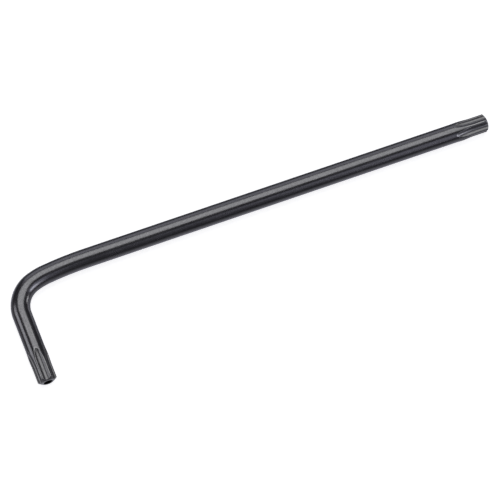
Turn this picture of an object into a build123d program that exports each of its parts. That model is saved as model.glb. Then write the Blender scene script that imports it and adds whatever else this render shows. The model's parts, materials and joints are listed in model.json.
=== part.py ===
from build123d import *
import os
from math import cos, radians, sin, tan

# Star key: one bar of hardened steel, bent into an L, with a drilled six-lobe star tip on each end.
# Lengths are in millimetres and angles in degrees.
# The key lies flat, with +Z up: the long arm points along +X and the short arm along -Y.
# The origin is the centre of the key's footprint, on the surface that it lies on.

# ---- The bar ----
bar_diameter = 4.5
long_arm_length = 120.0  # over all, from the short arm's outer side to the long arm's tip
short_arm_length = 27.6  # over all, from the long arm's outer side to the short arm's tip

# ---- The bend, along the bar's axis: tight at the short arm, then easing off into the long arm ----
tight_bend_radius = 7.2
easing_bend_radius = 16.4
easing_bend_angle = 12.8
lead_in_radius = 86.0
lead_in_angle = 6.6

# ---- The star: six lobes with round flutes between them ----
lobe_count = 6
lobe_land = 0.02  # the star's crest lies this far outside the bar, so each lobe keeps a strip of round bar
lobe_radius = 0.374
flute_depth = 0.67  # from the star's crest
flute_length = 8.05  # from the tip's end to the point where a flute fades out
flute_wheel_radius = 16.0  # of the round run-out that ends each flute
short_tip_phase = -27.0  # how far the star is turned about the short arm's axis
long_tip_phase = 12.0  # how far the star is turned about the long arm's axis

# ---- The bar swells a little where the flutes fade out ----
swell_height = 0.06
swell_peak_place = 6.2  # from the tip's end
swell_outer_run = 2.4  # from the peak towards the tip's end
swell_inner_run = 2.8  # from the peak towards the arm

# ---- The drilled and chamfered ends ----
bore_diameter = 2.2
bore_depth = 3.2  # of the straight wall
drill_point_angle = 118.0
end_rim_width = 0.25  # the flat ring round the bore
end_chamfer_angle = 30.0  # from the end face


def polar(radius, angle):
    """The point at this radius and angle."""
    return Vector(radius * cos(radians(angle)), radius * sin(radians(angle)))


def mirrored(point):
    """The same point on the other side of the X axis."""
    return Vector(point.X, -point.Y)


# ---- Worked out from the sizes above ----
bar_radius = bar_diameter / 2
bore_radius = bore_diameter / 2
drill_point_length = bore_radius / tan(radians(drill_point_angle / 2))
end_face_radius = bore_radius + end_rim_width
end_chamfer_length = (bar_radius - end_face_radius) * tan(radians(end_chamfer_angle))
swell_outer_end = swell_peak_place - swell_outer_run
swell_inner_end = swell_peak_place + swell_inner_run
tip_length = max(swell_inner_end, flute_length) + lobe_radius
cut_overrun = bar_radius

# ---- Where the tips are: the key lies on its swells, and each plane's +Z points out of its end face ----
swell_radius = bar_radius + swell_height
short_end = Vector(swell_radius - long_arm_length / 2, -short_arm_length / 2, swell_radius)
long_end = Vector(long_arm_length / 2, short_arm_length / 2 - swell_radius, swell_radius)
short_turn = polar(1, short_tip_phase)
long_turn = polar(1, long_tip_phase)
short_tip_plane = Plane(short_end, x_dir=(short_turn.X, 0, short_turn.Y), z_dir=(0, -1, 0))
long_tip_plane = Plane(long_end, x_dir=(0, long_turn.X, long_turn.Y), z_dir=(1, 0, 0))

# ---- The star's outline: each flute is an arc that runs smoothly into the lobes beside it ----
half_pitch = 180 / lobe_count
crest_radius = bar_radius + lobe_land
root_radius = crest_radius - flute_depth
lobe_centre = polar(crest_radius - lobe_radius, half_pitch)
lobe_crest = polar(crest_radius, half_pitch)
flute_radius = (
    (lobe_centre - Vector(root_radius, 0)).length ** 2 - lobe_radius**2
) / (2 * (lobe_centre.X + lobe_radius - root_radius))
flute_centre = Vector(root_radius + flute_radius, 0)
flute_edge = flute_centre + (lobe_centre - flute_centre).normalized() * flute_radius
lobe_flank = lobe_centre + ((flute_edge + lobe_crest) / 2 - lobe_centre).normalized() * lobe_radius

# ---- A flute keeps its full depth near the end face, and a round run-out lifts it out of the bar ----
run_out_drop = bar_radius - root_radius
run_out_length = (2 * flute_wheel_radius * run_out_drop - run_out_drop**2) ** 0.5
full_flute_length = flute_length - run_out_length
wheel_axis = Axis((root_radius + flute_wheel_radius, 0, -full_flute_length), (0, -1, 0))

# ---- One flute's cut, from crest to crest, with the end face at Z = 0 ----
with BuildPart() as flute_cut:
    with BuildSketch(Plane.XY.offset(-full_flute_length)) as flute_section:
        with BuildLine():
            flute = ThreePointArc(mirrored(flute_edge), (root_radius, 0), flute_edge)
            ThreePointArc(flute @ 1, lobe_flank, lobe_crest)
            ThreePointArc(flute @ 0, mirrored(lobe_flank), mirrored(lobe_crest))
            Polyline(
                lobe_crest,
                polar(bar_radius + cut_overrun, half_pitch),
                polar(bar_radius + cut_overrun, -half_pitch),
                mirrored(lobe_crest),
            )
        make_face()
    extrude(flute_section.sketch, amount=full_flute_length + cut_overrun)
    revolve(flute_section.sketch, axis=wheel_axis, revolution_arc=90)

# ---- A star tip, with its end face at Z = 0 and +Z pointing out of it ----
with BuildPart() as star_tip:
    with BuildSketch(Plane.XZ):
        with BuildLine():
            Polyline(
                (bar_radius, -swell_inner_end),
                (bar_radius, -tip_length),
                (0, -tip_length),
                (0, 0),
                (end_face_radius, 0),
                (bar_radius, -end_chamfer_length),
                (bar_radius, -swell_outer_end),
            )
            Spline(
                (bar_radius, -swell_outer_end),
                (swell_radius, -swell_peak_place),
                (bar_radius, -swell_inner_end),
                tangents=[(0, -1), (0, -1)],
            )
        make_face()
    revolve(axis=Axis.Z)
    with PolarLocations(0, lobe_count):
        add(flute_cut.part, mode=Mode.SUBTRACT)
    with BuildSketch(Plane.XZ):
        with BuildLine():
            Polyline(
                (0, cut_overrun),
                (bore_radius, cut_overrun),
                (bore_radius, -bore_depth),
                (0, -bore_depth - drill_point_length),
                close=True,
            )
        make_face()
    revolve(axis=Axis.Z, mode=Mode.SUBTRACT)

# ---- How far the bend carries the bar's axis along each arm: the chords of its arcs, added up ----
tight_bend_angle = 90 - easing_bend_angle - lead_in_angle
bend_arcs = [
    (tight_bend_radius, tight_bend_angle),
    (easing_bend_radius, easing_bend_angle),
    (lead_in_radius, lead_in_angle),
]
bend_reach = Vector(0, 0)
heading = 90
for arc_radius, arc_angle in bend_arcs:
    chord = 2 * arc_radius * sin(radians(arc_angle / 2))
    bend_reach += polar(chord, heading - arc_angle / 2)
    heading -= arc_angle

# ---- The bar's axis, from the back of the short arm's tip to the back of the long arm's tip ----
bar_start = short_end + Vector(0, tip_length)
bar_finish = long_end - Vector(tip_length, 0)
bend_start = Vector(short_end.X, long_end.Y - bend_reach.Y, swell_radius)

with BuildLine() as bar_axis:
    axis_stretch = Line(bar_start, bend_start)
    for arc_radius, arc_angle in bend_arcs:
        axis_stretch = JernArc(axis_stretch @ 1, axis_stretch % 1, arc_radius, -arc_angle)
    Line(axis_stretch @ 1, bar_finish)

# ---- The whole key ----
with BuildPart() as bent_star_bar:
    with BuildSketch(Plane(bar_start, x_dir=(1, 0, 0), z_dir=(0, 1, 0))):
        Circle(bar_radius)
    sweep(path=bar_axis.wire())
    with Locations(short_tip_plane, long_tip_plane):
        add(star_tip.part)

bent_star_bar.part.label = "bent_star_bar"

os.makedirs("parts", exist_ok=True)
export_step(bent_star_bar.part, "parts/bent_star_bar.step")

print(f"star: crest {crest_radius:.3f}, root {root_radius:.3f}, flute arc {flute_radius:.3f}")
print(f"flutes: full depth for {full_flute_length:.2f}, run-out {run_out_length:.2f}")
print(f"bend reach: {bend_reach.X:.2f} along the long arm, {bend_reach.Y:.2f} along the short arm")
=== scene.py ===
import json
from math import atan2, ceil, cos, degrees, pi, radians, sin, sqrt, tan

import bmesh
import bpy
from mathutils import Matrix, Vector


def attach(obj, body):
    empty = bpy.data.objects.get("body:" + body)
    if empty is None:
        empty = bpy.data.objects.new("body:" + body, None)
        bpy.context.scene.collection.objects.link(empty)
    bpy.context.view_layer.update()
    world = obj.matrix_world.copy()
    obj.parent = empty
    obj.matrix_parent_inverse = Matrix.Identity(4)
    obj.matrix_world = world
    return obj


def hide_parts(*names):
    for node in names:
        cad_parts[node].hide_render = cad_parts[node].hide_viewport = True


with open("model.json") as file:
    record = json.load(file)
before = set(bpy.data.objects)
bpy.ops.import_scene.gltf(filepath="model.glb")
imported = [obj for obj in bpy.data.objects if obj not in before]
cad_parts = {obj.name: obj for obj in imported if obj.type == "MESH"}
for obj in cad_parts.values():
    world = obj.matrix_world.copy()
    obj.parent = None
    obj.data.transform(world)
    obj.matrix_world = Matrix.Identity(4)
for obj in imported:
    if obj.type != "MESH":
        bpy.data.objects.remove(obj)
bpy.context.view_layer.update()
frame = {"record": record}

# A star key of dark satin steel on a white floor. Lengths are in metres and angles in degrees.
MM = 0.001

# ---- Sizes and places that the frame gives ----
mounts = {mount["name"]: mount for mount in frame["record"]["mounts"]}
short_end = Vector(mounts["short_tip_star"]["pos_m"])
long_end = Vector(mounts["long_tip_star"]["pos_m"])
bar_radius = mounts["long_arm_shank"]["dims"]["r_mm"] * MM
bore_radius = mounts["short_tip_bore"]["dims"]["r_mm"] * MM
bore_depth = mounts["short_tip_bore"]["dims"]["length_mm"] * MM
axis_height = short_end.z

# ---- The bend: (radius, angle) of each arc of the axis, from the short arm to the long arm ----
bend_arcs = [(7.2 * MM, 70.6), (16.4 * MM, 12.8), (86.0 * MM, 6.6)]

# ---- The star: six lobes with round flutes between them ----
lobe_count = 6
lobe_land = 0.02 * MM  # from the bar to the crests; each lobe keeps a strip of round bar
lobe_radius = 0.374 * MM
flute_depth = 0.67 * MM  # from the crests
flute_length = 8.05 * MM  # from the end face to the point where a flute fades out
flute_wheel_radius = 16.0 * MM  # of the round run-out that ends each flute
short_tip_phase = -27.0  # how far the star is turned about the short arm's axis
long_tip_phase = 12.0  # how far the star is turned about the long arm's axis

# ---- The swell behind the flutes, and the end's chamfer and drill point ----
swell_height = 0.06 * MM
swell_peak_place = 6.2 * MM  # from the end face
swell_outer_run = 2.4 * MM  # from the peak towards the end face
swell_inner_run = 2.8 * MM  # from the peak towards the arm
end_rim_width = 0.25 * MM  # the flat ring round the bore
end_chamfer_angle = 30.0  # from the end face
drill_point_angle = 118.0

# ---- Edges are a little rounded, and may be worn: 1 is the most that an edge can be ----
flute_edge_blend = 0.08 * MM
flute_wear_width = 0.09 * MM  # how far from a flute's edge, in depth, its wear fades out
chamfer_edge_radius = 0.10 * MM
chamfer_edge_wear = 1.0
rim_edge_radius = 0.06 * MM
rim_edge_wear = 0.5
bore_edge_radius = 0.05 * MM
bore_edge_wear = 0.8

# ---- The mesh of a tip: columns run along it, rows go round it ----
flute_columns = 16  # from a flute's middle to its edge
land_columns = 5  # from a flute's edge to the middle of the lobe
half_columns = flute_columns + land_columns
ring_points = 2 * half_columns * lobe_count
flute_bunching = 1.4  # over 1, columns stand closer together at the flute's edge
land_bunching = 1.6
least_edge_share = 0.12  # a flute's columns keep this share of the outline where the flute narrows
outline_samples = 90
tip_back = 13.0 * MM  # how far from the end face a tip's mesh reaches
end_part_length = 0.8 * MM  # the chamfer, the rim and the bore are drawn from here
chamfer_edge_steps = 5
rim_edge_steps = 3
bore_edge_steps = 4
bore_wall_rows = (0.1, 0.4, 0.7, 1.0)  # shares of the way down the bore's wall
drill_point_rows = (0.5, 0.98)  # shares of the way down the drill point

# ---- The mesh of the bar between the tips ----
bend_step = 1.8  # degrees from ring to ring
short_arm_rings = 2
long_arm_rings = 20
tube_gap = 1.0 * MM  # between this mesh and a tip's, until the two are bridged

# ---- The steel's look: how much each pattern changes colour, roughness and relief ----
cut_start = 0.03 * MM  # a face takes the cut tone between these two depths under the bar's surface
cut_end = 0.10 * MM
dark_grain = 0.66  # the dark grains' tone, as a share of the bar's
mark_shade = 0.82  # the cutter marks' tone, as a share of the cut faces'
line_tone = (0.12, 0.12, 0.125, 1)
line_share = 0.12
score_share = 0.35
wear_share = 0.8
wear_amount = 0.45
speckle_gloss = 0.05  # how much roughness each pattern takes off
mark_gloss = 0.08
wear_gloss = 0.08
cloud_dullness = 0.05  # how much roughness the cloud adds
line_relief = 0.35
score_relief = 0.8
mark_relief = 0.9
cut_speckle_relief = 0.4
grazing_tint = (0.75, 0.75, 0.78, 1)

# ---- The studio: a strength of 1 is white ----
floor_size = 12.0
floor_colour = (0.8, 0.8, 0.8, 1)
floor_glow = 0.82  # added for the camera, to the light that the floor gets from the lamps
# In the steel's reflections the floor is a painted glow: white near the key's arms and fading with
# distance from them, not lit by the lamps.
painted_glow_colour = (0.92, 0.92, 1.0, 1)
painted_glow_reach = 2.15 * MM  # the painted glow that the steel sees in the floor is full white this close to an arm's axis
dark_studio = (0.058, 0.058, 0.066, 1)
soft_lights = [  # name, place, aim, (width, height), brightness and tint
    ("overhead_softbox", (0.165, 0.405, 1.0), (0.165, 0.405, 0), (1.27, 0.99), 1.0, (1, 1, 1)),
    ("front_card", (0.75, -0.85, 0.62), (0.4, 0, 0), (1.0, 1.0), 0.37, (0.85, 0.85, 1.0)),
    ("back_card", (0.6, 1.2, 0.45), (0.6, 0, 0.2), (1.9, 0.85), 0.43, (0.9, 0.9, 1.0)),
    ("side_softbox", (-1.2, 0.3, 0.45), (0, 0, 0.1), (0.95, 0.65), 1.0, (0.96, 0.96, 1.0)),
    ("front_strip", (0.70, -0.75, 0.37), (0, 0, 0), (0.54, 0.42), 1.47, (0.91, 0.91, 1.0)),
    ("end_strip", (1.08, -0.16, 0.17), (0, 0, 0), (0.30, 0.30), 1.6, (1, 1, 1)),
]

# ---- The camera, at the photograph's angle ----
camera_distance = 765 * MM
camera_lens = 242.5  # millimetres
sensor_width = 36  # millimetres
picture_turn = 18.891  # the long arm's rise in the picture
long_arm_tilt = 10.183  # the long arm's slope away from the camera
key_roll = 20.0  # how far the camera stands forward of straight above the long arm
corner_offset = Vector((-12.1051, -1.7141)) * 2 * bar_radius  # the arms' crossing, from the middle


def polar(radius, angle):
    """The point at this radius and angle."""
    return Vector((radius * cos(radians(angle)), radius * sin(radians(angle))))


def angle_of(point):
    """The angle of a point about the origin."""
    return degrees(atan2(point.y, point.x))


def smooth_step(value, low, high):
    """0 below low, 1 above high, and a soft rise between them."""
    share = min(max((value - low) / (high - low), 0.0), 1.0)
    return share * share * (3 - 2 * share)


def soft_least(a, b, blend):
    """The smaller of a and b, with the corner between them rounded."""
    near = max(blend - abs(a - b), 0.0) / blend
    return min(a, b) - near * near * blend / 4


# ---- The star's outline over half a pitch: a flute's arc, then a lobe's arc up to its crest ----
half_pitch = 180 / lobe_count
crest_radius = bar_radius + lobe_land
root_radius = crest_radius - flute_depth
lobe_centre = polar(crest_radius - lobe_radius, half_pitch)
root_to_lobe = lobe_centre - Vector((root_radius, 0))
flute_radius = (root_to_lobe.length_squared - lobe_radius**2) / 2 / (root_to_lobe.x + lobe_radius)
flute_centre = Vector((root_radius + flute_radius, 0))
centre_line = lobe_centre - flute_centre
flute_turn = degrees(atan2(centre_line.y, -centre_line.x))
lobe_turn = flute_turn + half_pitch
flute_share = flute_radius * flute_turn / (flute_radius * flute_turn + lobe_radius * lobe_turn)

# ---- A flute has its full depth near the end face; a round run-out lifts it out of the bar ----
run_out_drop = bar_radius - root_radius
run_out_length = sqrt(2 * flute_wheel_radius * run_out_drop - run_out_drop**2)
full_flute_length = flute_length - run_out_length
wheel_axis_radius = root_radius + flute_wheel_radius
end_face_radius = bore_radius + end_rim_width

# ---- A tip's rows, from its back to its end: (a stretch's end, the step between its rows) ----
row_stretches = [
    (9.0 * MM, 0.5 * MM),
    (flute_length, 0.2 * MM),
    (7.0 * MM, 0.05 * MM),
    (full_flute_length, 0.12 * MM),
    (end_part_length, 0.3 * MM),
]


def star_point(share):
    """The point at this share of the way from a flute's middle to a lobe's crest."""
    if share < flute_share:
        return flute_centre + polar(flute_radius, 180 - flute_turn * share / flute_share)
    along_lobe = (share - flute_share) / (1 - flute_share)
    return lobe_centre + polar(lobe_radius, -flute_turn + lobe_turn * along_lobe)


def bar_radius_at(distance):
    """The bar's radius at this distance from the end face, with its swell."""
    run = swell_inner_run if distance > swell_peak_place else swell_outer_run
    share = min(abs(distance - swell_peak_place) / run, 1.0)
    return bar_radius + swell_height * (1 + cos(pi * share)) / 2


def cut_point(share, distance):
    """Where star_point(share) is at this distance from the end face, lifted by the run-out."""
    point = star_point(share)
    past = max(distance - full_flute_length, 0.0)
    arm = wheel_axis_radius - point.x
    return Vector((wheel_axis_radius - sqrt(arm * arm - past * past), point.y))


def edge_share(distance):
    """The share at which a flute meets the round bar, found by halving the interval."""
    low, high = 0.0, 1.0
    for _ in range(30):
        middle = (low + high) / 2
        if cut_point(middle, distance).length < bar_radius_at(distance):
            low = middle
        else:
            high = middle
    return high


def interpolate(value, places, heights):
    """The height at value on the polyline (places, heights), and far outside past its end."""
    if value > places[-1]:
        return heights[-1] + 10 * bar_radius * tan(radians(value - places[-1]))
    i = next(i for i in range(1, len(places)) if value <= places[i])
    share = (value - places[i - 1]) / (places[i] - places[i - 1])
    return heights[i - 1] + (heights[i] - heights[i - 1]) * max(share, 0.0)


def half_outline(distance):
    """A row's columns from a flute's middle to a lobe's: (angle, radius, bar's radius, nearness)."""
    round_radius = bar_radius_at(distance)
    samples = [cut_point(i / outline_samples, distance) for i in range(outline_samples + 1)]
    sample_angles = [angle_of(point) for point in samples]
    sample_radii = [point.length for point in samples]
    edge = max(edge_share(distance), least_edge_share)
    edge_angle = angle_of(cut_point(edge, distance))
    evenness = smooth_step(distance, flute_length, tip_back)
    outline = []
    for column in range(half_columns + 1):
        if column <= flute_columns:
            share = edge * (1 - (1 - column / flute_columns) ** flute_bunching)
            angle = angle_of(cut_point(share, distance))
        else:
            across = ((column - flute_columns) / land_columns) ** land_bunching
            angle = edge_angle + (half_pitch - edge_angle) * across
        angle += (half_pitch * column / half_columns - angle) * evenness
        cut_radius = interpolate(angle, sample_angles, sample_radii)
        radius = soft_least(cut_radius, round_radius, flute_edge_blend)
        nearness = 1 - min(abs(cut_radius - round_radius) / flute_wear_width, 1.0)
        outline.append((angle, radius, round_radius, nearness))
    return outline


def rounded_corner(before, corner, after, radius, steps):
    """Points of the arc that rounds a corner of the polyline before, corner, after."""
    inwards = (before - corner).normalized()
    onwards = (after - corner).normalized()
    half_angle = inwards.angle(onwards) / 2
    tangent_length = radius / tan(half_angle)
    centre = corner + (inwards + onwards).normalized() * (radius / sin(half_angle))
    start = corner + inwards * tangent_length - centre
    finish = corner + onwards * tangent_length - centre
    chords = [start.lerp(finish, i / steps) for i in range(steps + 1)]
    return [centre + chord.normalized() * radius for chord in chords]


def end_profile(column_radius):
    """((radius, distance), edge nearness) down a column, over the chamfer and into the bore."""
    slope = tan(radians(end_chamfer_angle))
    drill_point_length = bore_radius / tan(radians(drill_point_angle / 2))
    start = Vector((column_radius, end_part_length))
    outer = Vector((column_radius, (column_radius - end_face_radius) * slope))
    face = Vector((end_face_radius, 0))
    mouth = Vector((bore_radius, 0))
    floor_edge = Vector((bore_radius, bore_depth))
    drill_point = Vector((0, bore_depth + drill_point_length))
    chamfer = rounded_corner(start, outer, face, chamfer_edge_radius, chamfer_edge_steps)
    rim = rounded_corner(outer, face, mouth, rim_edge_radius, rim_edge_steps)
    lip = rounded_corner(face, mouth, floor_edge, bore_edge_radius, bore_edge_steps)
    profile = [(chamfer[0], 0.0)]
    profile += [(point, chamfer_edge_wear) for point in chamfer[1:-1]]
    profile += [(chamfer[-1], 0.0)]
    profile += [(point, rim_edge_wear) for point in rim]
    profile += [(point, bore_edge_wear) for point in lip]
    profile += [(mouth.lerp(floor_edge, share), 0.0) for share in bore_wall_rows]
    profile += [(floor_edge.lerp(drill_point, share), 0.0) for share in drill_point_rows]
    return profile


def spaced(start, finish, step):
    """Distances from start down to finish, about a step apart, without the last one."""
    count = ceil((start - finish) / step)
    return [start + (finish - start) * i / count for i in range(count)]


def tip_rows():
    """A tip's rows: (angle, radius, distance, cut depth, nearness) for half a pitch's columns."""
    distances = []
    start = tip_back
    for finish, step in row_stretches:
        distances += spaced(start, finish, step)
        start = finish
    rows = []
    for distance in distances:
        row = []
        for angle, radius, bar, nearness in half_outline(distance):
            row.append((angle, radius, distance, bar - radius, nearness))
        rows.append(row)
    last = half_outline(end_part_length)
    profiles = [end_profile(radius) for _, radius, _, _ in last]
    for i in range(len(profiles[0])):
        row = []
        for (angle, _, bar, _), profile in zip(last, profiles):
            (radius, distance), nearness = profile[i]
            row.append((angle, radius, distance, bar - radius, nearness))
        rows.append(row)
    return rows


def only(piece):
    """Makes this piece the only selected one, and the active one."""
    bpy.ops.object.select_all(action="DESELECT")
    piece.select_set(True)
    bpy.context.view_layer.objects.active = piece


def star_tip():
    """A star tip, drawn out ring by ring from a circle. +Z points out of its end face at Z = 0."""
    rows = tip_rows()
    bpy.ops.object.select_all(action="DESELECT")
    bpy.ops.mesh.primitive_circle_add(vertices=ring_points, radius=bar_radius)
    tip = bpy.context.object
    tip.name = "star_tip"
    column_numbers = tip.data.attributes.new("column", "INT", "POINT")
    column_numbers.data.foreach_set("value", range(ring_points))
    tip.data.attributes.new("cut_depth", "FLOAT", "POINT")
    tip.data.attributes.new("edge_nearness", "FLOAT", "POINT")
    bpy.ops.object.mode_set(mode="EDIT")
    bpy.ops.mesh.select_all(action="SELECT")
    for number, row in enumerate(rows):
        if number:
            bpy.ops.mesh.extrude_edges_move()
        ring = bmesh.from_edit_mesh(tip.data)
        column_layer = ring.verts.layers.int["column"]
        depth_layer = ring.verts.layers.float["cut_depth"]
        nearness_layer = ring.verts.layers.float["edge_nearness"]
        for vert in ring.verts:
            if vert.select:
                pitch, place = divmod(vert[column_layer], 2 * half_columns)
                mirror = place > half_columns
                column = 2 * half_columns - place if mirror else place
                angle, radius, distance, depth, nearness = row[column]
                turn = 2 * half_pitch * (pitch + mirror) + (-angle if mirror else angle)
                flat = polar(radius, turn)
                vert.co = (flat.x, flat.y, -distance)
                vert[depth_layer] = depth
                vert[nearness_layer] = nearness
        bmesh.update_edit_mesh(tip.data)
    bpy.ops.mesh.merge(type="CENTER")
    bpy.ops.object.mode_set(mode="OBJECT")
    return tip


def placed_copy(piece, name, place, out, sideways, phase):
    """A copy of the star tip at place: +Z goes to out, and +X to sideways, turned by the phase."""
    copy = piece.copy()
    copy.data = piece.data.copy()
    copy.name = name
    bpy.context.scene.collection.objects.link(copy)
    up = out.cross(sideways)
    first = sideways * cos(radians(phase)) + up * sin(radians(phase))
    second = out.cross(first)
    turn = Matrix((first, second, out)).transposed().to_4x4()
    copy.data.transform(Matrix.Translation(place) @ turn)
    return copy


def bend_path():
    """The bend's start, (centre, radius, angle, heading) of each of its arcs, and its end."""
    heading = 90.0
    reach = Vector((0, 0))
    for radius, angle in bend_arcs:
        reach += polar(2 * radius * sin(radians(angle / 2)), heading - angle / 2)
        heading -= angle
    start = Vector((short_end.x, long_end.y - reach.y, axis_height))
    arcs = []
    heading = 90.0
    point = start.copy()
    for radius, angle in bend_arcs:
        centre = point + polar(radius, heading - 90).to_3d()
        arcs.append((centre, radius, angle, heading))
        heading -= angle
        point = centre + polar(radius, heading + 90).to_3d()
    return start, arcs, point


def draw_out(travel, steps):
    """Extrudes the selected ring along travel in equal steps."""
    for _ in range(steps):
        bpy.ops.mesh.extrude_edges_move(TRANSFORM_OT_translate={"value": travel / steps})


def bent_tube(path):
    """The bar between the tips: a circle drawn up the short arm, round the bend and on."""
    bend_start, arcs, bend_end = path
    tube_start = short_end + Vector((0, tip_back + tube_gap, 0))
    tube_end = long_end - Vector((tip_back + tube_gap, 0, 0))
    bpy.ops.object.select_all(action="DESELECT")
    bpy.ops.mesh.primitive_circle_add(
        vertices=ring_points,
        radius=bar_radius,
        location=tube_start,
        rotation=(pi / 2, 0, 0),
    )
    tube = bpy.context.object
    tube.name = "bent_tube"
    bpy.ops.object.transform_apply()
    bpy.ops.object.mode_set(mode="EDIT")
    bpy.ops.mesh.select_all(action="SELECT")
    draw_out(bend_start - tube_start, short_arm_rings)
    for centre, _, angle, _ in arcs:
        steps = ceil(angle / bend_step)
        bpy.ops.mesh.spin(steps=steps, angle=radians(angle), center=centre, axis=(0, 0, 1))
    draw_out(tube_end - bend_end, long_arm_rings)
    bpy.ops.object.mode_set(mode="OBJECT")
    return tube


def along_bar(point, path):
    """(sideways, up, along) of a point on the bar, as it was before the bar was bent."""
    bend_start, arcs, bend_end = path
    up = point.z - axis_height
    if point.y < bend_start.y and point.x < bend_start.x + 2 * bar_radius:
        return point.x - short_end.x, up, point.y - short_end.y
    along = bend_start.y - short_end.y
    for centre, radius, angle, heading in arcs:
        arm = (point - centre).to_2d()
        turned = heading + 90 - angle_of(arm)
        if turned <= angle:
            return radius - arm.length, up, along + radius * radians(turned)
        along += radius * radians(angle)
    return long_end.y - point.y, up, along + point.x - bend_end.x


def whole_key():
    """The star tips bridged to the bent tube; each point knows its place on the straight bar."""
    tip = star_tip()
    short_tip = placed_copy(
        tip, "short_tip", short_end, Vector((0, -1, 0)), Vector((1, 0, 0)), short_tip_phase
    )
    long_tip = placed_copy(
        tip, "long_tip", long_end, Vector((1, 0, 0)), Vector((0, 1, 0)), long_tip_phase
    )
    bpy.data.objects.remove(tip)
    path = bend_path()
    key = bent_tube(path)
    only(key)
    short_tip.select_set(True)
    long_tip.select_set(True)
    bpy.ops.object.join()
    key.name = "star_key"
    bpy.ops.object.mode_set(mode="EDIT")
    bpy.ops.mesh.select_mode(type="EDGE")
    for centre in (short_end + Vector((0, tip_back, 0)), long_end - Vector((tip_back, 0, 0))):
        bpy.ops.mesh.select_all(action="DESELECT")
        rim = bmesh.from_edit_mesh(key.data)
        for edge in rim.edges:
            middle = (edge.verts[0].co + edge.verts[1].co) / 2
            if edge.is_boundary and (middle - centre).length < bar_radius + 2 * tube_gap:
                edge.select = True
        bmesh.update_edit_mesh(key.data)
        bpy.ops.mesh.bridge_edge_loops()
    bpy.ops.mesh.select_all(action="SELECT")
    bpy.ops.mesh.normals_make_consistent(inside=False)
    bpy.ops.mesh.select_mode(type="VERT")
    bpy.ops.object.mode_set(mode="OBJECT")
    bpy.ops.object.shade_smooth()
    places = key.data.attributes.new("bar_place", "FLOAT_VECTOR", "POINT")
    for vert in key.data.vertices:
        places.data[vert.index].vector = along_bar(vert.co, path)
    return key


def paint_bore_shade(key):
    """Gives the faces inside the two bores the second material, whose near-black steel is painted
    shade in the bores.
    """
    depths = [value.value for value in key.data.attributes["cut_depth"].data]
    wall_depth = bar_radius - bore_radius - 0.5 * bore_edge_radius
    for face in key.data.polygons:
        if min(depths[i] for i in face.vertices) > wall_depth:
            face.material_index = 1


# ---- Nodes ----
def new_material(name):
    """An empty node material and its node tree."""
    material = bpy.data.materials.new(name)
    material.use_nodes = True
    material.node_tree.nodes.clear()
    return material, material.node_tree


def new_group(name, inputs, outputs):
    """An empty node group, its input node and its output node. Inputs have a default, or None."""
    group = bpy.data.node_groups.new(name, "ShaderNodeTree")
    for socket_name, socket_type, default in inputs:
        socket = group.interface.new_socket(
            name=socket_name, in_out="INPUT", socket_type=socket_type
        )
        if default is not None:
            socket.default_value = default
    for socket_name, socket_type in outputs:
        group.interface.new_socket(name=socket_name, in_out="OUTPUT", socket_type=socket_type)
    return group, group.nodes.new("NodeGroupInput"), group.nodes.new("NodeGroupOutput")


def placed_group(tree, group, place, values):
    """A copy of the group in a material, at the place and with its own values."""
    node = tree.nodes.new("ShaderNodeGroup")
    node.node_tree = group
    tree.links.new(place, node.inputs["Place"])
    for socket_name, value in values.items():
        feed(tree, node.inputs[socket_name], value)
    return node


def feed(tree, socket, value):
    """Links the socket to another node's socket, or gives it a value of its own."""
    if hasattr(value, "is_linked"):
        tree.links.new(value, socket)
    else:
        socket.default_value = value


def attribute(tree, name, output):
    """An output of one of the key's own point attributes."""
    node = tree.nodes.new("ShaderNodeAttribute")
    node.attribute_name = name
    return node.outputs[output]


def arithmetic(tree, operation, *values):
    """A Math node over sockets or numbers, and its result."""
    node = tree.nodes.new("ShaderNodeMath")
    node.operation = operation
    for socket, value in zip(node.inputs, values):
        feed(tree, socket, value)
    return node.outputs["Value"]


def ramp_between(tree, value, low, high):
    """0 below low, 1 above high, and a soft rise between them."""
    node = tree.nodes.new("ShaderNodeMapRange")
    node.interpolation_type = "SMOOTHSTEP"
    for name, setting in (("Value", value), ("From Min", low), ("From Max", high)):
        feed(tree, node.inputs[name], setting)
    return node.outputs["Result"]


mix_sockets = {"FLOAT": (2, 3, 0), "RGBA": (6, 7, 2)}  # numbers of a Mix node's A, B and result


def mixed(tree, share, first, second, data_type="RGBA"):
    """A mix of two sockets, colours or numbers, and its result."""
    node = tree.nodes.new("ShaderNodeMix")
    node.data_type = data_type
    a, b, result = mix_sockets[data_type]
    feed(tree, node.inputs["Factor"], share)
    feed(tree, node.inputs[a], first)
    feed(tree, node.inputs[b], second)
    return node.outputs[result]


def noise(tree, place, scale, detail=2.0, roughness=0.5):
    """A noise over the place, from 0 to 1."""
    node = tree.nodes.new("ShaderNodeTexNoise")
    settings = (("Vector", place), ("Scale", scale), ("Detail", detail), ("Roughness", roughness))
    for name, setting in settings:
        feed(tree, node.inputs[name], setting)
    return node.outputs["Fac"]


def stretched(tree, place, shrink_along):
    """The place, shrunk along the bar: this draws a pattern out along the bar."""
    node = tree.nodes.new("ShaderNodeVectorMath")
    node.operation = "MULTIPLY"
    feed(tree, node.inputs[0], place)
    feed(tree, node.inputs[1], (1.0, 1.0, shrink_along))
    return node.outputs["Vector"]


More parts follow.
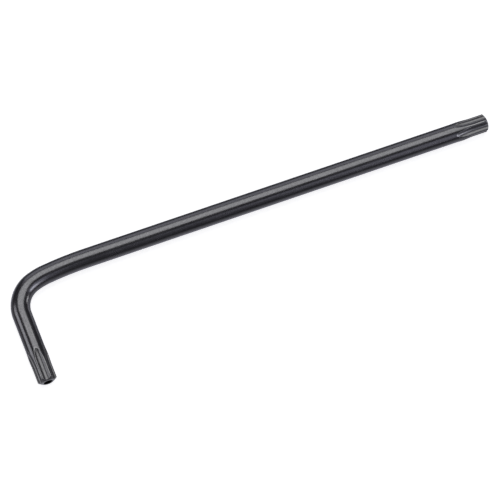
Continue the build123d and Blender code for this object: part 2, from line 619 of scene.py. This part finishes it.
# ---- The steel's patterns, as node groups; each reads the place on the straightened bar ----
def oxide_grain():
    """The fine speckle of a blackened, tumbled surface, and a cloudier tone under it."""
    tree, given, result = new_group(
        "oxide_grain",
        [("Place", "NodeSocketVector", None), ("Grain Scale", "NodeSocketFloat", 5200.0)],
        [("Speckle", "NodeSocketFloat"), ("Cloud", "NodeSocketFloat")],
    )
    place, grain_scale = given.outputs["Place"], given.outputs["Grain Scale"]
    fine_share = 0.45
    fine_scale = arithmetic(tree, "MULTIPLY", grain_scale, 2.3)
    cloud_scale = arithmetic(tree, "MULTIPLY", grain_scale, 0.045)
    coarse = noise(tree, place, grain_scale, detail=3.0, roughness=0.65)
    fine = noise(tree, place, fine_scale, detail=1.0)
    coarse_part = arithmetic(tree, "MULTIPLY", coarse, 1 - fine_share)
    both = arithmetic(tree, "MULTIPLY_ADD", fine, fine_share, coarse_part)
    cloud = noise(tree, place, cloud_scale, detail=4.0, roughness=0.6)
    tree.links.new(ramp_between(tree, both, 0.36, 0.64), result.inputs["Speckle"])
    tree.links.new(ramp_between(tree, cloud, 0.3, 0.7), result.inputs["Cloud"])
    return tree


def drawn_lines():
    """Faint lines along the bar from the drawing die, and a few deeper scores."""
    tree, given, result = new_group(
        "drawn_lines",
        [("Place", "NodeSocketVector", None)],
        [("Lines", "NodeSocketFloat"), ("Scores", "NodeSocketFloat")],
    )
    place = given.outputs["Place"]
    lines = noise(tree, stretched(tree, place, 0.012), 9000.0, detail=3.0, roughness=0.6)
    scores = noise(tree, stretched(tree, place, 0.03), 3600.0, detail=1.0, roughness=0.4)
    tree.links.new(ramp_between(tree, lines, 0.3, 0.7), result.inputs["Lines"])
    tree.links.new(ramp_between(tree, scores, 0.70, 0.74), result.inputs["Scores"])
    return tree


def cutter_marks():
    """The slanted marks that a cutter leaves across a flute."""
    tree, given, result = new_group(
        "cutter_marks",
        [("Place", "NodeSocketVector", None), ("Pitch", "NodeSocketFloat", 0.32 * MM)],
        [("Marks", "NodeSocketFloat")],
    )
    slant = 0.7  # how far a mark runs along the bar for each step sideways
    wobble_length = 0.4 * MM
    wave_share = 0.22
    place = given.outputs["Place"]
    parts = tree.nodes.new("ShaderNodeSeparateXYZ")
    tree.links.new(place, parts.inputs["Vector"])
    wobble = arithmetic(tree, "MULTIPLY", noise(tree, place, 900.0), wobble_length)
    shift = arithmetic(tree, "MULTIPLY_ADD", parts.outputs["X"], slant, wobble)
    along = arithmetic(tree, "ADD", parts.outputs["Z"], shift)
    turns = arithmetic(tree, "DIVIDE", along, given.outputs["Pitch"])
    wave = arithmetic(tree, "SINE", arithmetic(tree, "MULTIPLY", turns, 2 * pi))
    unevenness = noise(tree, place, 2600.0)
    marks = arithmetic(tree, "MULTIPLY_ADD", wave, wave_share, unevenness)
    tree.links.new(ramp_between(tree, marks, 0.2, 0.8), result.inputs["Marks"])
    return tree


def edge_wear():
    """Where the black has rubbed off an edge: the edge's nearness, broken up by noise."""
    tree, given, result = new_group(
        "edge_wear",
        [
            ("Edge", "NodeSocketFloat", 0.0),
            ("Place", "NodeSocketVector", None),
            ("Amount", "NodeSocketFloat", 0.5),
        ],
        [("Wear", "NodeSocketFloat")],
    )
    patches = noise(tree, given.outputs["Place"], 1500.0, detail=3.0, roughness=0.6)
    raised = arithmetic(tree, "ADD", patches, given.outputs["Amount"])
    spread = arithmetic(tree, "MULTIPLY", given.outputs["Edge"], raised)
    tree.links.new(ramp_between(tree, spread, 0.35, 0.95), result.inputs["Wear"])
    return tree


# ---- Materials ----
def shaded(tone, share):
    """The tone at this share of its brightness."""
    red, green, blue, alpha = tone
    return (red * share, green * share, blue * share, alpha)


def key_steel(
    name,
    patterns,
    bar_tone,
    cut_tone,
    worn_tone,
    bar_roughness,
    cut_roughness,
    grain_scale,
    bump_height,
):
    """Blackened steel with its own tones for the bar, the cut faces and the worn edges."""
    material, tree = new_material(name)
    links = tree.links
    place = attribute(tree, "bar_place", "Vector")
    cut = ramp_between(tree, attribute(tree, "cut_depth", "Fac"), cut_start, cut_end)
    grain = placed_group(tree, patterns["grain"], place, {"Grain Scale": grain_scale})
    drawn = placed_group(tree, patterns["lines"], place, {})
    cutter = placed_group(tree, patterns["marks"], place, {})
    edge = attribute(tree, "edge_nearness", "Fac")
    rubbed = placed_group(tree, patterns["wear"], place, {"Edge": edge, "Amount": wear_amount})
    speckle, cloud = grain.outputs["Speckle"], grain.outputs["Cloud"]
    lines, scores = drawn.outputs["Lines"], drawn.outputs["Scores"]
    marks, wear = cutter.outputs["Marks"], rubbed.outputs["Wear"]

    bar_colour = mixed(tree, speckle, shaded(bar_tone, dark_grain), bar_tone)
    line_mask = arithmetic(tree, "MULTIPLY", lines, line_share)
    score_mask = arithmetic(tree, "MULTIPLY", scores, score_share)
    wear_mask = arithmetic(tree, "MULTIPLY", wear, wear_share)
    bar_colour = mixed(tree, line_mask, bar_colour, line_tone)
    bar_colour = mixed(tree, score_mask, bar_colour, worn_tone)
    cut_colour = mixed(tree, marks, shaded(cut_tone, mark_shade), cut_tone)
    colour = mixed(tree, cut, bar_colour, cut_colour)
    colour = mixed(tree, wear_mask, colour, worn_tone)

    bar_finish = arithmetic(tree, "MULTIPLY_ADD", speckle, -speckle_gloss, bar_roughness)
    bar_finish = arithmetic(tree, "MULTIPLY_ADD", cloud, cloud_dullness, bar_finish)
    cut_finish = arithmetic(tree, "MULTIPLY_ADD", marks, -mark_gloss, cut_roughness)
    finish = mixed(tree, cut, bar_finish, cut_finish, "FLOAT")
    finish = arithmetic(tree, "MULTIPLY_ADD", wear, -wear_gloss, finish)

    bar_relief = arithmetic(tree, "MULTIPLY_ADD", lines, line_relief, speckle)
    bar_relief = arithmetic(tree, "MULTIPLY_ADD", scores, -score_relief, bar_relief)
    cut_relief = arithmetic(tree, "MULTIPLY", speckle, cut_speckle_relief)
    cut_relief = arithmetic(tree, "MULTIPLY_ADD", marks, mark_relief, cut_relief)
    relief = mixed(tree, cut, bar_relief, cut_relief, "FLOAT")
    bump = tree.nodes.new("ShaderNodeBump")
    bump.inputs["Strength"].default_value = 1.0
    bump.inputs["Distance"].default_value = bump_height
    links.new(relief, bump.inputs["Height"])

    shader = tree.nodes.new("ShaderNodeBsdfPrincipled")
    output = tree.nodes.new("ShaderNodeOutputMaterial")
    shader.inputs["Metallic"].default_value = 1.0
    shader.inputs["Specular Tint"].default_value = grazing_tint
    links.new(colour, shader.inputs["Base Color"])
    links.new(finish, shader.inputs["Roughness"])
    links.new(bump.outputs["Normal"], shader.inputs["Normal"])
    links.new(shader.outputs["BSDF"], output.inputs["Surface"])
    return material


def distance_to_arm(tree, along, aside, low, high, line):
    """How far a place on the floor is from the arm that runs from low to high above the line."""
    before = arithmetic(tree, "SUBTRACT", low, along)
    after = arithmetic(tree, "SUBTRACT", along, high)
    past = arithmetic(tree, "MAXIMUM", arithmetic(tree, "MAXIMUM", before, after), 0.0)
    off = arithmetic(tree, "SUBTRACT", aside, line)
    squares = arithmetic(tree, "MULTIPLY_ADD", past, past, arithmetic(tree, "MULTIPLY", off, off))
    return arithmetic(tree, "SQRT", squares)


def white_floor():
    """A floor that is white to the camera and keeps the shadow; in the steel's reflections it is a
    painted glow, white close to the arms and fading away from them.
    """
    material, tree = new_material("white_floor")
    nodes, links = tree.nodes, tree.links
    places = nodes.new("ShaderNodeTexCoord")
    parts = nodes.new("ShaderNodeSeparateXYZ")
    links.new(places.outputs["Object"], parts.inputs["Vector"])
    x, y = parts.outputs["X"], parts.outputs["Y"]
    to_long_arm = distance_to_arm(tree, x, y, short_end.x, long_end.x, long_end.y)
    to_short_arm = distance_to_arm(tree, y, x, short_end.y, long_end.y, short_end.x)
    nearest = arithmetic(tree, "MINIMUM", to_long_arm, to_short_arm)
    # painted glow: the floor's brightness in reflections falls off with distance from the arms
    painted_glow_falloff = arithmetic(tree, "MINIMUM", arithmetic(tree, "DIVIDE", painted_glow_reach, nearest), 1.0)
    rays = nodes.new("ShaderNodeLightPath")
    diffuse = nodes.new("ShaderNodeBsdfDiffuse")
    diffuse.inputs["Color"].default_value = floor_colour
    glow = nodes.new("ShaderNodeEmission")
    glow_strength = arithmetic(tree, "MULTIPLY", rays.outputs["Is Camera Ray"], floor_glow)
    links.new(glow_strength, glow.inputs["Strength"])
    lit = nodes.new("ShaderNodeAddShader")
    links.new(diffuse.outputs["BSDF"], lit.inputs[0])
    links.new(glow.outputs["Emission"], lit.inputs[1])
    # The steel sees this painted glow in place of the lit floor.
    painted_glow = nodes.new("ShaderNodeEmission")
    painted_glow.inputs["Color"].default_value = painted_glow_colour
    links.new(painted_glow_falloff, painted_glow.inputs["Strength"])
    in_metal = arithmetic(
        tree, "MAXIMUM", rays.outputs["Is Glossy Ray"], rays.outputs["Is Transmission Ray"]
    )
    chosen = nodes.new("ShaderNodeMixShader")
    output = nodes.new("ShaderNodeOutputMaterial")
    links.new(in_metal, chosen.inputs["Fac"])
    links.new(lit.outputs["Shader"], chosen.inputs[1])
    links.new(painted_glow.outputs["Emission"], chosen.inputs[2])
    links.new(chosen.outputs["Shader"], output.inputs["Surface"])
    return material


# ---- The studio ----
def softbox(name, place, aim, size, brightness, tint):
    """A rectangular lamp at place that faces aim; the camera doesn't see it."""
    width, height = size
    lamp = bpy.data.lights.new(name, "AREA")
    lamp.shape = "RECTANGLE"
    lamp.size = width
    lamp.size_y = height
    lamp.energy = brightness * pi * width * height
    lamp.color = tint
    box = bpy.data.objects.new(name, lamp)
    box.location = place
    box.rotation_euler = (Vector(aim) - Vector(place)).to_track_quat("-Z", "Y").to_euler()
    box.visible_camera = False
    bpy.context.scene.collection.objects.link(box)


def studio_world():
    """White to the camera, and a dark studio to the key and the floor."""
    world = bpy.data.worlds.new("white_studio")
    world.use_nodes = True
    nodes, links = world.node_tree.nodes, world.node_tree.links
    nodes.clear()
    rays = nodes.new("ShaderNodeLightPath")
    dark = nodes.new("ShaderNodeBackground")
    dark.inputs["Color"].default_value = dark_studio
    white = nodes.new("ShaderNodeBackground")
    white.inputs["Color"].default_value = (1, 1, 1, 1)
    chosen = nodes.new("ShaderNodeMixShader")
    output = nodes.new("ShaderNodeOutputWorld")
    links.new(rays.outputs["Is Camera Ray"], chosen.inputs["Fac"])
    links.new(dark.outputs["Background"], chosen.inputs[1])
    links.new(white.outputs["Background"], chosen.inputs[2])
    links.new(chosen.outputs["Shader"], output.inputs["Surface"])
    return world


def studio():
    """The floor, the soft lights and the background."""
    bpy.ops.object.select_all(action="DESELECT")
    bpy.ops.mesh.primitive_plane_add(size=floor_size)
    floor = bpy.context.object
    floor.name = "studio_floor"
    floor.data.materials.append(white_floor())
    for soft_light in soft_lights:
        softbox(*soft_light)
    bpy.context.scene.world = studio_world()


def photo_camera():
    """The camera that sees the key as the photograph does."""
    turned = Matrix.Rotation(radians(picture_turn), 3, "Z")
    tilted = Matrix.Rotation(radians(long_arm_tilt), 3, "Y")
    rolled = Matrix.Rotation(radians(-key_roll), 3, "X")
    view_to_key = (turned @ tilted @ rolled).transposed()
    corner = Vector((short_end.x, long_end.y, axis_height))
    in_view = Vector((-corner_offset.x, -corner_offset.y, camera_distance))
    data = bpy.data.cameras.new("photo_camera")
    data.lens = camera_lens
    data.sensor_width = sensor_width
    camera = bpy.data.objects.new("photo_camera", data)
    camera.matrix_world = Matrix.Translation(corner + view_to_key @ in_view) @ view_to_key.to_4x4()
    bpy.context.scene.collection.objects.link(camera)
    bpy.context.scene.camera = camera


key = whole_key()
patterns = {
    "grain": oxide_grain(),
    "lines": drawn_lines(),
    "marks": cutter_marks(),
    "wear": edge_wear(),
}
key.data.materials.append(
    key_steel(
        "satin_black_oxide",
        patterns,
        bar_tone=(0.284, 0.284, 0.295, 1),
        cut_tone=(0.275, 0.275, 0.280, 1),
        worn_tone=(0.42, 0.42, 0.42, 1),
        bar_roughness=0.23,
        cut_roughness=0.34,
        grain_scale=4200.0,
        bump_height=0.0008 * MM,
    )
)
# The bores' steel is made near black: painted shade inside the bores, with the same patterns and
# worn edges as the bar.
key.data.materials.append(
    key_steel(
        "bore_painted_shade",
        patterns,
        bar_tone=(0.10, 0.10, 0.10, 1),
        cut_tone=(0.07, 0.07, 0.07, 1),
        worn_tone=(0.25, 0.25, 0.25, 1),
        bar_roughness=0.48,
        cut_roughness=0.54,
        grain_scale=5200.0,
        bump_height=0.003 * MM,
    )
)
paint_bore_shade(key)
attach(key, "root")
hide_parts("bent_star_bar")
studio()
photo_camera()
bpy.context.scene.view_settings.view_transform = "Standard"
